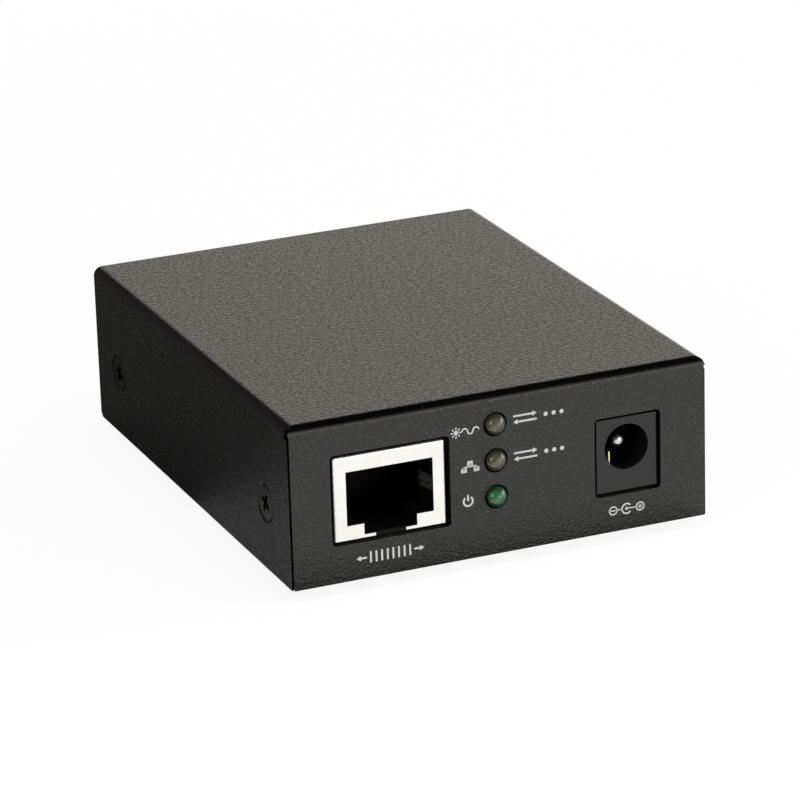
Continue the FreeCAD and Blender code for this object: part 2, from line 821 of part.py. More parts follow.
def sfp_cage_upper():
    """Top, sides and inner end of the cage, with its board pins."""
    x_range = (cage_x - cage_width / 2, cage_x + cage_width / 2)
    outer = block(x_range, (cage_end, cage_mouth), (board_top, cage_top))
    inner = block((x_range[0] + cage_sheet, x_range[1] - cage_sheet),
                  (cage_end + cage_sheet, cage_mouth + overrun),
                  (board_top - overrun, cage_top - cage_sheet))
    pieces = [outer.cut(inner)]
    pin_levels = (pin_tip, board_top + cage_sheet)
    for x, y in cage_pin_places():
        pieces.append(centred_block(x, y, cage_sheet, cage_pin_width, pin_levels))
    return join(pieces)


def sfp_cage_floor():
    """The floor of the cage, with the sprung catch that holds a module."""
    half = cage_width / 2 - cage_sheet - press_gap
    floor_start = edge_socket_face + cage_sheet
    levels = (board_top, board_top + cage_sheet)
    floor = block((cage_x - half, cage_x + half), (floor_start, cage_mouth), levels)
    tip = cage_mouth - catch_inset
    root = tip - catch_length
    slot_half = catch_width / 2 + catch_slot
    floor = floor.cut(block((cage_x - slot_half, cage_x + slot_half), (root, tip + catch_slot),
                            (board_top - overrun, board_top + overrun)))
    middle = board_top + cage_sheet / 2
    path = [(root - cage_sheet, middle), (root, middle), (tip, middle + catch_rise)]
    catch = strip(path, cage_sheet, catch_width, in_side_plane(cage_x))
    hole_y = tip - catch_window
    hole = centred_block(cage_x, hole_y, catch_window, catch_window,
                         (board_top - overrun, board_top + catch_rise + overrun))
    return join([floor, catch.cut(hole)])


def finger_profile(surface, outward):
    """A finger's path from the ring over the edge of the rear opening: (y, distance) points."""
    tip = rear_face + cage_proud
    base = surface + outward * finger_sheet / 2
    crest = surface + outward * (finger_bow - finger_sheet / 2)
    return [
        (tip - finger_length, base),
        (tip - finger_length / 2, crest),
        (tip - finger_length / 4, crest),
        (tip, base),
    ]


def sfp_spring_fingers():
    """A thin ring round the mouth of the cage, with fingers that press on the rear panel."""
    x_range = (cage_x - cage_width / 2, cage_x + cage_width / 2)
    z_range = (board_top, cage_top)
    start = rear_face + cage_proud - finger_length
    ring_y = (start - finger_ring, start + finger_sheet)
    outer = block((x_range[0] - finger_sheet, x_range[1] + finger_sheet), ring_y,
                  (z_range[0] - finger_sheet, z_range[1] + finger_sheet))
    inner = block(x_range, (ring_y[0] - overrun, ring_y[1] + overrun), z_range)
    pieces = [outer.cut(inner)]
    for offset in row(top_finger_count, finger_pitch):
        across = in_side_plane(cage_x + offset)
        for surface, outward in ((z_range[0], -1), (z_range[1], 1)):
            pieces.append(strip(finger_profile(surface, outward), finger_sheet, finger_width, across))
    middle = (z_range[0] + z_range[1]) / 2
    for offset in row(side_finger_count, finger_pitch):
        for surface, outward in ((x_range[0], -1), (x_range[1], 1)):
            path = [(distance, y) for y, distance in finger_profile(surface, outward)]
            pieces.append(strip(path, finger_sheet, finger_width, in_level_plane(middle + offset)))
    return join(pieces)


def edge_contact_places():
    """Each contact's x, the level of its side of the slot, and 1 for the floor or -1 for the roof."""
    floor = board_top + edge_slot_lift
    roof = floor + edge_slot_height
    offsets = row(edge_contact_count, edge_contact_pitch)
    shift = edge_contact_pitch / 2
    lower = [(cage_x + offset - shift / 2, floor, 1) for offset in offsets]
    return lower + [(x + shift, roof, -1) for x, level, direction in lower]


def edge_contact(x, level, direction):
    """One contact: along the slot, out of the back and down to its pad on the board."""
    z = level + direction * edge_contact_sheet / 2
    back = edge_socket_rear - edge_contact_sheet * (2 - direction)
    path = [(edge_socket_face - edge_contact_sheet * 2, z), (back, z), (back, board_top)]
    return strip(path, edge_contact_sheet, edge_contact_width, in_side_plane(x))


def sfp_connector():
    """The moulded socket for a module's board edge, open behind for both rows of contacts."""
    body = centred_block(cage_x, (edge_socket_rear + edge_socket_face) / 2, edge_socket_width,
                         edge_socket_depth, (board_top, board_top + edge_socket_height))
    floor = board_top + edge_slot_lift
    roof = floor + edge_slot_height
    x_range = (cage_x - edge_slot_width / 2, cage_x + edge_slot_width / 2)
    slot_end = edge_socket_face - edge_slot_depth
    room = edge_contact_sheet + contact_slot_gap / 2
    slot = block(x_range, (slot_end, edge_socket_face + overrun), (floor, roof))
    rows = [block(x_range, (edge_socket_rear - overrun, slot_end), levels)
            for levels in ((floor, floor + room), (roof - room, roof))]
    return body.cut([slot] + rows)


def sfp_connector_contacts():
    return [edge_contact(*place) for place in edge_contact_places()]


# ---- Board parts ----
def gull_pins(x, y_side, outward, body_level, count, pitch, width, thickness, reach):
    """A row of pins that leave a body's side at the given level, and turn down and out to the board."""
    foot_z = board_top + thickness / 2
    bend = y_side + outward * reach / 3
    path = [(y_side, body_level), (bend, body_level), (bend, foot_z), (y_side + outward * reach, foot_z)]
    return [strip(path, thickness, width, in_side_plane(x + offset)) for offset in row(count, pitch)]


def beveled_block(x, y, width, depth, z_range, bevel):
    body = centred_block(x, y, width, depth, z_range)
    top = [edge for edge in body.Edges if lies_on(edge, ("z", z_range[1]))]
    return body.makeChamfer(bevel, top)


transformer_x = cage_x - cage_width / 2 - cage_gap - transformer_width / 2
transformer_y = lan_rear + part_gap + transformer_depth / 2
chip_x = cage_x - cage_width / 2 - cage_gap - chip_size / 2
chip_y = transformer_y + transformer_depth / 2 + transformer_pin_reach + part_gap + chip_size / 2
crystal_y = chip_y + chip_size / 2 + part_gap + crystal_length / 2
power_near_x = cage_x + cage_width / 2 + cage_gap + inductor_size / 2
power_far_x = power_near_x + (inductor_size + regulator_length) / 2 + part_gap / 2
power_row_y = dc_rear + 2 * dc_blade + part_gap + capacitor_base / 2
coil_row_y = power_row_y + capacitor_base / 2 + part_gap + inductor_size / 2
memory_y = coil_row_y + inductor_size / 2 + part_gap + memory_pin_reach + memory_width / 2


def lan_transformer():
    levels = (board_top + transformer_lift, board_top + transformer_lift + transformer_height)
    return beveled_block(transformer_x, transformer_y, transformer_width, transformer_depth, levels,
                         chip_bevel)


def transformer_pins():
    level = board_top + transformer_lift + transformer_height / 3
    pins = []
    for outward in (-1, 1):
        side = transformer_y + outward * transformer_depth / 2
        pins += gull_pins(transformer_x, side, outward, level, transformer_pin_count, transformer_pin_pitch,
                          transformer_pin_width, transformer_pin_sheet, transformer_pin_reach)
    return pins


def converter_chip():
    levels = (board_top, board_top + chip_height)
    return beveled_block(chip_x, chip_y, chip_size, chip_size, levels, chip_bevel)


def crystal():
    """A small oblong package with a narrower metal lid."""
    base_top = board_top + crystal_base_height
    base = centred_block(chip_x, crystal_y, crystal_width, crystal_length, (board_top, base_top))
    lid_width = crystal_width - 2 * crystal_rim
    lid_length = crystal_length - 2 * crystal_rim
    lid_levels = (board_top, board_top + crystal_height)
    return join([base, beveled_block(chip_x, crystal_y, lid_width, lid_length, lid_levels, chip_bevel)])


def memory_chip():
    levels = (board_top + memory_lift, board_top + memory_lift + memory_height)
    return beveled_block(dc_x, memory_y, memory_length, memory_width, levels, chip_bevel)


def memory_pins():
    level = board_top + memory_lift + memory_height / 2
    pins = []
    for outward in (-1, 1):
        side = memory_y + outward * memory_width / 2
        pins += gull_pins(dc_x, side, outward, level, memory_pin_count, memory_pin_pitch,
                          memory_pin_width, memory_pin_sheet, memory_pin_reach)
    return pins


def power_regulator():
    levels = (board_top, board_top + regulator_height)
    return beveled_block(power_far_x, coil_row_y, regulator_length, regulator_width, levels, chip_bevel)


def regulator_pins():
    """Three pins on the front side of the regulator, and its wide tab on the rear side."""
    x = power_far_x
    level = board_top + regulator_height / 2
    side = regulator_width / 2
    pins = gull_pins(x, coil_row_y - side, -1, level, 3, transformer_pin_pitch, transformer_pin_width,
                     regulator_tab_sheet, transformer_pin_reach)
    return pins + gull_pins(x, coil_row_y + side, 1, level, 1, transformer_pin_pitch, regulator_tab,
                            regulator_tab_sheet, transformer_pin_reach)


def power_inductor():
    """A square shielded coil with cut corners and a raised round core."""
    x = power_near_x
    half = inductor_size / 2
    x_range = (x - half, x + half)
    y_range = (coil_row_y - half, coil_row_y + half)
    top = board_top + inductor_height
    body = block(x_range, y_range, (board_top, top))
    upright = [edge for edge in body.Edges for corner in upright_corners(x_range, y_range)
               if lies_on(edge, corner[0]) and lies_on(edge, corner[1])]
    body = body.makeChamfer(inductor_corner, upright)
    core = rod(inductor_core_radius, (x, coil_row_y, top), (x, coil_row_y, top + inductor_core_rise))
    return join([body, core])


def capacitor(x, y):
    """An aluminium can on a square moulded base."""
    base_top = board_top + capacitor_base_height
    base = centred_block(x, y, capacitor_base, capacitor_base, (board_top, base_top))
    return join([base, rod(capacitor_radius, (x, y, board_top), (x, y, board_top + capacitor_height))])


# ---- The pieces ----
def pieces():
    """Every node's name with its solid, or with its group of like solids."""
    named = {
        "cover": cover(),
        "base_tray": base_tray(),
        "cover_screws": cover_screws(),
        "board_standoffs": [standoff(x, y) for x, y in standoff_places],
        "board_screws": [board_screw(x, y) for x, y in standoff_places],
        "main_board": main_board(),
        "lan_jack_shield": lan_jack_shield(),
        "lan_jack_housing": lan_jack_housing(),
        "led_holder": led_holder(),
        "led_leads": led_leads(),
        "dc_jack_housing": dc_jack_housing(),
        "dc_jack_pin": dc_jack_pin(),
        "dc_pin_terminal": dc_pin_terminal(),
        "dc_jack_spring": dc_jack_spring(),
        "dc_switch_terminal": dc_switch_terminal(),
        "sfp_cage_upper": sfp_cage_upper(),
        "sfp_cage_floor": sfp_cage_floor(),
        "sfp_spring_fingers": sfp_spring_fingers(),
        "sfp_connector": sfp_connector(),
        "sfp_connector_contacts": sfp_connector_contacts(),
        "lan_transformer": lan_transformer(),
        "transformer_pins": transformer_pins(),
        "converter_chip": converter_chip(),
        "crystal": crystal(),
        "memory_chip": memory_chip(),
        "memory_pins": memory_pins(),
        "power_regulator": power_regulator(),
        "regulator_pins": regulator_pins(),
        "power_inductor": power_inductor(),
        "input_capacitor": capacitor(power_far_x, power_row_y),
        "output_capacitor": capacitor(power_near_x, power_row_y),
    }
    for name, z in zip(("power", "lan", "fibre"), led_heights):
        named["led_" + name] = led_lens(z)
    for i, (x, y) in enumerate(lan_pin_places()):
        named["lan_contact_" + str(i + 1)] = lan_contact(x, y)
    for end, y in (("front", front_face + foot_inset), ("rear", rear_face - foot_inset)):
        for side, x in (("left", left_face + foot_inset), ("right", right_face - foot_inset)):
            named["foot_" + end + "_" + side] = foot(x, y)
    return named


def export(name, solids):
    shape = Part.Compound(solids) if isinstance(solids, list) else solids
    shape.exportStep(os.path.join("parts", name + ".step"))


os.makedirs("parts", exist_ok=True)
for name, solids in pieces().items():
    export(name, solids)
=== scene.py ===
import json
import math

import bmesh
import bpy
from mathutils import Matrix, Vector


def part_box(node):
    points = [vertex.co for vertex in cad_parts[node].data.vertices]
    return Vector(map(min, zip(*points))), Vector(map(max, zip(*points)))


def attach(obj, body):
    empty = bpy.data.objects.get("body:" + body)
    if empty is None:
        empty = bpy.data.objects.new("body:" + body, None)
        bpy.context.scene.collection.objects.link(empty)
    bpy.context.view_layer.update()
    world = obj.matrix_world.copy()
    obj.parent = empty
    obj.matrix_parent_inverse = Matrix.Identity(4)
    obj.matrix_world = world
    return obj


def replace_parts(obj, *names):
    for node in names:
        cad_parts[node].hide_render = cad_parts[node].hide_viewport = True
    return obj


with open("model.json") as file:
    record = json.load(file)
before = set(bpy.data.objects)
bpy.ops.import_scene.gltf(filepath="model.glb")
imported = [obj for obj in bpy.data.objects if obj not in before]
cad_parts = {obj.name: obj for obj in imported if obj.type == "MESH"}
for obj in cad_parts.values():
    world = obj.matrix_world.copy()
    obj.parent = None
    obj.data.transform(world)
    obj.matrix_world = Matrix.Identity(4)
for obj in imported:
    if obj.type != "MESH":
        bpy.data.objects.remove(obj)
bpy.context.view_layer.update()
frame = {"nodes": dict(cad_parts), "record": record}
nodes = frame["nodes"]
record = frame["record"]

# Metres, in the frame of the model: X right along the front, Y from the front to the rear, Z up.
MM = 0.001

# ---- The view ----
view_azimuth = math.radians(-22.475)
view_elevation = math.radians(19.934)
view_roll = math.radians(-1.772)
view_distance = 598.84 * MM
view_lens = 193.77             # focal length, in the sensor's millimetres
sensor_width = 36.0
clip_start = 0.01
aim_right = 1.325 * MM         # how far the camera is moved across its view
aim_up = -1.817 * MM
aim_height = 13.025 * MM       # level of the point that it looks at

# ---- Light ----
low_sky = 1.06                 # level of the pale walls round the stage
high_sky = 0.02                # level of the dark ceiling over it
sky_fade = (0.42, 0.66)        # upward parts of the direction between which the walls turn into the ceiling
shade_side = 0.10              # share of the walls' light that comes from the left
shade_fade = (0.02, 0.25)      # rightward parts of the direction between which the walls turn pale
wall_tint = (1.0, 0.94, 0.84)

floor_size = 12.0
floor_gap = 0.02 * MM          # it stays just clear of the feet
floor_white = 0.8              # the colour that lights the part
floor_glow = 0.88              # share of the floor's white that no shadow dims, where it is seen
floor_lift = 0.03              # makes up for the light that the rest of its white doesn't get
floor_fade = (0.10, 0.35)      # distance over which the shaded white turns plain

# The card is painted shadow: a dark sheet, seen only in reflections, where the part's shadow lies on the floor
# beside it and under it.
card_height = 0.4 * MM         # above the level that the feet stand on
card_lead = 3.8 * MM           # how far it stands out in front of the body
card_reach = 3.0               # how far it goes to the left and to the rear
card_front = 0.06              # how far in front of the part's middle it begins, on the left
card_edge = 1.5 * MM           # where the painted shadow turns from grey to dark, on the left
card_blur = 3 * MM             # half the width of that turn
card_tones = (0.58, 0.12)      # painted shadow's tones in front of that edge and behind it
card_shade = 0.03              # share of its tones that is left under the body, as painted contact shadow
card_rim = 0.1 * MM            # width of the turn to that share

# Soft lamps: place, width, height, watts, and whether glossy faces mirror them.
soft_lamps = (
    ("left_light", (-1.0, -0.50, 0.45), 0.6, 0.6, 3.6, True),
    ("right_light", (1.1, -0.35, 0.45), 0.6, 0.6, 5.0, True),
    ("top_light", (0.0, -0.35, 1.15), 1.0, 1.0, 7.0, False),
    ("strip_light", (0.38, -1.0, 0.12), 0.9, 0.22, 1.7, True),
)

# ---- Paint ----
paint_dark = (0.0005, 0.0005, 0.0005)
paint_fleck = (0.011, 0.011, 0.010)
paint_grain = 0.36 * MM
cover_relief = 0.18 * MM
tray_relief = 0.09 * MM
facing_range = (0.94, 0.995)   # largest part of the normal, from a bend to a flat face
bend_relief = 0.06             # share of the relief, and of the pale flecks, that is left on a bend; fewer flecks paint the bends darker, as painted shade
bend_rough = 0.22
flat_rough = (0.36, 0.13)      # from the grain's low values to its high ones
sheen_range = (0.36, 0.64)
fleck_range = (0.36, 0.66)
swell_size = 0.9 * MM
swell_relief = 0.02 * MM
cloud_size = 14 * MM
cloud_tones = (0.92, 1.08)

# ---- Print on the front ----
print_height = 1.55 * MM
print_stroke = 0.26 * MM
print_rise = 0.03 * MM

# ---- Screws and feet ----
screw_row = 28.5 * MM          # distance of each row from the part's middle
screw_shank = 1.5 * MM         # radius
screw_length = 3.95 * MM
screw_point = 0.3 * MM         # bevel at its end
head_depth = 0.9 * MM
groove_width = 0.30 * MM       # narrow groove between the head's edge and the sheet
groove_floor = 0.22 * MM
groove_depth = 0.06 * MM
recess_reach = 1.75 * MM
recess_width = 0.85 * MM
recess_depth = 0.95 * MM
recess_taper = (0.55, 0.75)    # shares of the reach and the width that are left at its floor
recess_turn = math.radians(24)
worn_depth = (0.9, 1.02)       # shares of the recess's depth between which its floor is worn bright
worn_reach = 0.9               # share of the shank's radius within which it is
foot_round = 0.35 * MM
foot_taper = 0.4 * MM
foot_hollow = 0.12 * MM
hollow_reach = (0.55, 0.62)    # shares of the foot's lower face, at the hollow's floor and at its edge

smooth_angle = math.radians(35)
weld_distance = 1e-7


# ---- Nodes and materials ----
def add(tree, kind, inputs=None, **settings):
    """A new node with its settings, and its inputs set or linked."""
    node = tree.nodes.new(kind)
    for key, value in settings.items():
        setattr(node, key, value)
    for key, value in (inputs or {}).items():
        if isinstance(value, bpy.types.NodeSocket):
            tree.links.new(value, node.inputs[key])
        else:
            node.inputs[key].default_value = value
    return node


def start_material(name, **shader_inputs):
    """A node material: its tree, its Principled shader and the object coordinates."""
    made = bpy.data.materials.new(name)
    made.use_nodes = True
    tree = made.node_tree
    shader = tree.nodes["Principled BSDF"]
    for key, value in shader_inputs.items():
        shader.inputs[key.replace("_", " ")].default_value = value
    place = tree.nodes.new("ShaderNodeTexCoord").outputs["Object"]
    return made, tree, shader, place


def noise(tree, place, size, detail=2.0, roughness=0.5):
    """A grain whose features are about the given size across."""
    node = add(tree, "ShaderNodeTexNoise", {"Vector": place, "Scale": 1 / size, "Detail": detail,
                                            "Roughness": roughness})
    return node.outputs["Fac"]


def spread(tree, value, low, high, start=0.3, end=0.7):
    """Maps a grain's middle values to the range from low to high."""
    node = add(tree, "ShaderNodeMapRange", {"Value": value, "From Min": start, "From Max": end,
                                            "To Min": low, "To Max": high})
    return node.outputs["Result"]


def calculate(tree, operation, *values):
    """The result of a Math node on one or two values."""
    return add(tree, "ShaderNodeMath", dict(enumerate(values)), operation=operation).outputs[0]


def parts_of(tree, vector):
    return add(tree, "ShaderNodeSeparateXYZ", {0: vector}).outputs


def blend_levels(tree, share, first, second):
    """From the first number to the second, by the share. A Mix node takes numbers in its sockets 2 and 3."""
    return add(tree, "ShaderNodeMix", {0: share, 2: first, 3: second}).outputs[0]


def blend_colours(tree, share, first, second):
    """From the first colour to the second, by the share. A Mix node takes colours in its sockets 6 and 7."""
    node = add(tree, "ShaderNodeMix", {0: share}, data_type="RGBA")
    for key, colour in ((6, first), (7, second)):
        if isinstance(colour, bpy.types.NodeSocket):
            tree.links.new(colour, node.inputs[key])
        else:
            node.inputs[key].default_value = (*colour, 1)
    return node.outputs[2]


def blend_shaders(tree, share, first, second):
    return add(tree, "ShaderNodeMixShader", {0: share, 1: first, 2: second}).outputs[0]


def scaled(colour, share):
    return tuple(c * share for c in colour)


def bump(tree, shader, height, distance, strength, under=None):
    """Relief of the given height on the shader, over another bump where one is given."""
    inputs = {"Height": height, "Distance": distance, "Strength": strength}
    if under is not None:
        inputs["Normal"] = under
    node = add(tree, "ShaderNodeBump", inputs)
    tree.links.new(node.outputs["Normal"], shader.inputs["Normal"])
    return node.outputs["Normal"]


def powder_coat(name, relief):
    """Baked powder paint: a fine speckle over small soft swells, drawn smooth round the bends, where its pale flecks
    are also left out so that the bends come out darker: painted shade.
    """
    made, tree, shader, place = start_material(name)
    speckle = noise(tree, place, paint_grain, detail=3.0, roughness=0.6)
    sheen = noise(tree, place, paint_grain * 1.5, detail=1.0)
    fleck = noise(tree, place, paint_grain * 0.8, detail=1.0)
    swells = noise(tree, place, swell_size)
    cloud = spread(tree, noise(tree, place, cloud_size, detail=3.0), *cloud_tones)

    facing = parts_of(tree, tree.nodes["Texture Coordinate"].outputs["Normal"])
    x, y, z = (calculate(tree, "ABSOLUTE", part) for part in facing)
    largest = calculate(tree, "MAXIMUM", calculate(tree, "MAXIMUM", x, y), z)
    flat = spread(tree, largest, bend_relief, 1.0, *facing_range)

    # Fewer flecks on the bends: painted shade that keeps the bends dark.
    fleck = calculate(tree, "MULTIPLY", spread(tree, fleck, 0.0, 1.0, *fleck_range), flat)
    tone = blend_colours(tree, fleck, paint_dark, paint_fleck)
    mottled = add(tree, "ShaderNodeHueSaturation", {"Color": tone, "Value": cloud})
    tree.links.new(mottled.outputs["Color"], shader.inputs["Base Color"])
    rough = blend_levels(tree, flat, bend_rough, spread(tree, sheen, *flat_rough, *sheen_range))
    tree.links.new(rough, shader.inputs["Roughness"])
    under = bump(tree, shader, swells, swell_relief, strength=0.10)
    bump(tree, shader, speckle, relief, strength=flat, under=under)
    return made


def plated_metal(name, colour, rough, grain=0.35 * MM, along=(1, 1, 1)):
    """Plated metal: a fine grain, drawn out along the rolling, and a slightly cloudy tone."""
    made, tree, shader, place = start_material(name, Metallic=1.0)
    stretched = add(tree, "ShaderNodeMapping", {"Vector": place, "Scale": along}).outputs["Vector"]
    lines = noise(tree, stretched, grain, detail=4.0, roughness=0.6)
    cloud = noise(tree, place, 5 * MM, detail=3.0)
    tone = blend_colours(tree, spread(tree, cloud, 0.0, 1.0), colour, scaled(colour, 0.88))
    tree.links.new(tone, shader.inputs["Base Color"])
    tree.links.new(spread(tree, lines, rough * 0.8, rough * 1.25), shader.inputs["Roughness"])
    bump(tree, shader, lines, 0.01 * MM, strength=0.3)
    return made


def moulded(name, colour, rough, grain=0.25 * MM, relief=0.012 * MM, shine=0.5):
    """Moulded plastic or ceramic: a fine matt grain and a slight flow of tone."""
    made, tree, shader, place = start_material(name)
    texture = noise(tree, place, grain, detail=3.0, roughness=0.6)
    flow = noise(tree, place, 4 * MM)
    tone = blend_colours(tree, spread(tree, flow, 0.0, 1.0), colour, scaled(colour, 1.25))
    tree.links.new(tone, shader.inputs["Base Color"])
    tree.links.new(spread(tree, texture, rough * 1.12, rough * 0.9), shader.inputs["Roughness"])
    shader.inputs["Specular IOR Level"].default_value = shine
    bump(tree, shader, texture, relief, strength=0.6)
    return made


def laminate(name, mask, copper):
    """Solder mask over copper: slightly raised tracks on a woven base."""
    made, tree, shader, place = start_material(name, Roughness=0.32)
    bricks = add(tree, "ShaderNodeTexBrick", {"Vector": place, "Scale": 1 / (2.6 * MM), "Mortar Size": 0.09})
    tracks = bricks.outputs["Fac"]
    weave = noise(tree, place, 0.4 * MM)
    tree.links.new(blend_colours(tree, tracks, mask, copper), shader.inputs["Base Color"])
    under = bump(tree, shader, weave, 0.01 * MM, strength=0.4)
    bump(tree, shader, tracks, 0.035 * MM, strength=0.6, under=under)
    return made


def rubber(name, colour):
    """Soft black rubber: a dull grain, paler where dust clings to it."""
    made, tree, shader, place = start_material(name)
    grain = noise(tree, place, 0.3 * MM, detail=4.0, roughness=0.7)
    dust = noise(tree, place, 1.8 * MM, detail=4.0)
    tone = blend_colours(tree, spread(tree, dust, 0.0, 0.5), colour, scaled(colour, 2.2))
    tree.links.new(tone, shader.inputs["Base Color"])
    tree.links.new(spread(tree, grain, 0.95, 0.75), shader.inputs["Roughness"])
    bump(tree, shader, grain, 0.02 * MM, strength=0.7)
    return made


def clear_resin(name, colour, clearness):
    """Cast resin with a faint haze in it, painted darker behind the nose: painted shade that rounds off the dome."""
    made, tree, shader, place = start_material(name, Roughness=0.07, IOR=1.53, Transmission_Weight=clearness)
    haze = noise(tree, place, 0.8 * MM)
    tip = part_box("led_fibre")[0].y
    # Darker towards the lens's rear: painted shade for the dome's rim.
    behind = spread(tree, parts_of(tree, place)["Y"], 0.0, 1.0, tip + 0.15 * MM, tip + 1.0 * MM)
    tone = blend_colours(tree, spread(tree, haze, 0.0, 1.0), colour, scaled(colour, 1.35))
    tree.links.new(blend_colours(tree, behind, tone, scaled(colour, 0.22)), shader.inputs["Base Color"])
    return made


def screen_print(name, colour):
    """Printed ink: dense, with a slightly open grain at its surface."""
    made, tree, shader, place = start_material(name, Roughness=0.55)
    grain = noise(tree, place, 0.12 * MM, detail=3.0, roughness=0.6)
    tone = blend_colours(tree, spread(tree, grain, 0.0, 1.0, 0.4, 0.8), colour, scaled(colour, 0.78))
    tree.links.new(tone, shader.inputs["Base Color"])
    bump(tree, shader, grain, 0.006 * MM, strength=0.5)
    return made


# By the record's material slots.
materials = {
    "cover_paint": powder_coat("cover_paint", cover_relief),
    "tray_paint": powder_coat("tray_paint", tray_relief),
    "black_screw": plated_metal("black_screw", (0.060, 0.059, 0.057), 0.38),
    "foot_rubber": rubber("foot_rubber", (0.018, 0.018, 0.018)),
    "bright_steel": plated_metal("bright_steel", (0.70, 0.69, 0.67), 0.28),
    "board_laminate": laminate("board_laminate", (0.012, 0.014, 0.012), (0.030, 0.034, 0.030)),
    "shield_plate": plated_metal("shield_plate", (0.975, 0.95, 0.905), 0.30, 0.5 * MM, (0.25, 1, 1)),
    "black_moulding": moulded("black_moulding", (0.002, 0.002, 0.002), 0.5, shine=0.15),
    "dc_moulding": moulded("dc_moulding", (0.004, 0.004, 0.004), 0.42),
    "contact_gold": plated_metal("contact_gold", (0.88, 0.76, 0.50), 0.24),
    "tin_plate": plated_metal("tin_plate", (0.76, 0.76, 0.75), 0.38),
    "smoke_lens": clear_resin("smoke_lens", (0.19, 0.165, 0.125), 0.72),
    "green_lens": clear_resin("green_lens", (0.065, 0.26, 0.12), 0.68),
    "cage_steel": plated_metal("cage_steel", (0.72, 0.71, 0.68), 0.30, 0.4 * MM, (1, 0.2, 1)),
    "chip_epoxy": moulded("chip_epoxy", (0.020, 0.020, 0.021), 0.6, 0.2 * MM),
    "ferrite": moulded("ferrite", (0.075, 0.075, 0.078), 0.7, 0.3 * MM, 0.03 * MM),
    "can_aluminium": plated_metal("can_aluminium", (0.82, 0.82, 0.82), 0.30, 0.3 * MM, (1, 1, 0.15)),
}
# For details that have no slot of their own.
white_ink = screen_print("white_ink", (0.72, 0.72, 0.71))
lead_frame = plated_metal("lead_frame", (0.62, 0.60, 0.56), 0.35)
worn_steel = plated_metal("worn_steel", (0.72, 0.71, 0.69), 0.22, 0.15 * MM)

for subpart in record["subparts"]:
    for holder in nodes[subpart["node"]].material_slots:
        holder.material = materials[subpart["material_slot"]]


# ---- Pieces ----
def mesh_from(name, form):
    mesh = bpy.data.meshes.new(name)
    form.to_mesh(mesh)
    form.free()
    return mesh


def add_object(name, data):
    """A new object in the scene."""
    made = bpy.data.objects.new(name, data)
    bpy.context.scene.collection.objects.link(made)
    return made


def finish_piece(name, mesh, finish):
    """A new piece of the part with its material, which rides on the body."""
    mesh.materials.append(finish)
    piece = add_object(name, mesh)
    mesh.shade_smooth()
    mesh.set_sharp_from_angle(angle=smooth_angle)
    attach(piece, "root")
    return piece


def turned_to(axis):
    """The turn that brings Z onto the axis."""
    return Vector((0, 0, 1)).rotation_difference(Vector(axis)).to_matrix().to_4x4()


def lathe(name, profile, centre, axis, steps=64):
    """A mesh turned about an axis through the centre, from (radius, distance along the axis) points."""
    form = bmesh.new()
    verts = [form.verts.new((radius, 0, along)) for radius, along in profile]
    edges = [form.edges.new(pair) for pair in zip(verts, verts[1:])]
    bmesh.ops.spin(form, geom=verts + edges, cent=(0, 0, 0), axis=(0, 0, 1), angle=2 * math.pi, steps=steps,
                   use_merge=True, use_duplicate=False)
    bmesh.ops.remove_doubles(form, verts=form.verts, dist=weld_distance)
    bmesh.ops.recalc_face_normals(form, faces=form.faces)
    form.transform(Matrix.Translation(centre) @ turned_to(axis))
    return mesh_from(name, form)


def arc(radius, middle, start, end, count):
    """Points of (radius, along) round an arc, with its angles from the radial direction."""
    angles = [start + (end - start) * i / count for i in range(count + 1)]
    return [(middle[0] + radius * math.cos(a), middle[1] + radius * math.sin(a)) for a in angles]


def centre_of(node):
    low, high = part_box(node)
    return (low + high) / 2


def size_of(node):
    low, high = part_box(node)
    return high - low


def round_bar(node):
    """The radius and length of a round node that lies along Y, and the middle of its front end."""
    low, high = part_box(node)
    tip = Vector(((low.x + high.x) / 2, low.y, (low.z + high.z) / 2))
    return (high.x - low.x) / 2, high.y - low.y, tip


def lamp(node, finish):
    """A clear lens with its round nose and, inside it, the lead frame's cup and post."""
    radius, length, tip = round_bar(node)
    nose = radius * 0.98
    tip_flat = 0.05
    seam = 0.1 * MM
    bevel = 0.12 * MM
    profile = [(0, 0)] + arc(nose, (0, nose), -math.pi / 2 + tip_flat, 0, count=14)
    profile += [(radius, nose + seam), (radius, length - bevel), (radius - bevel, length), (0, length)]
    lens = finish_piece(node + "_lens", lathe(node + "_lens", profile, tip, (0, 1, 0)), finish)
    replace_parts(lens, node)

    rim_y = nose + 0.5 * MM
    post = 0.3 * MM
    post_end = length - 0.3 * MM
    cup = [(across * MM, rim_y + along * MM) for across, along in
           ((0, 0.35), (0.25, 0.3), (0.55, 0), (0.68, 0), (0.68, 0.9), (0.3, 1.1))]
    cup += [(post, post_end), (0, post_end)]
    off_centre = Vector((0.15 * MM, 0, 0))
    mesh = lathe(node + "_cup", cup, tip + off_centre, (0, 1, 0), steps=32)
    finish_piece(node + "_cup", mesh, lead_frame)


def power_pin():
    """The power socket's pin with its rounded nose, a small flat at the tip and a thinner tail."""
    radius, length, tip = round_bar("dc_jack_pin")
    nose = 0.88 * MM
    tip_flat = 0.1
    tail = 0.55 * MM
    tail_start = length * 0.7
    profile = [(0, 0), (radius - nose, 0)]
    profile += arc(nose, (radius - nose, nose), -math.pi / 2 + tip_flat, 0, count=10)
    profile += [(radius, tail_start), (tail, tail_start), (tail, length), (0, length)]
    mesh = lathe("dc_pin", profile, tip, (0, 1, 0), steps=48)
    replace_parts(finish_piece("dc_pin", mesh, materials["bright_steel"]), "dc_jack_pin")


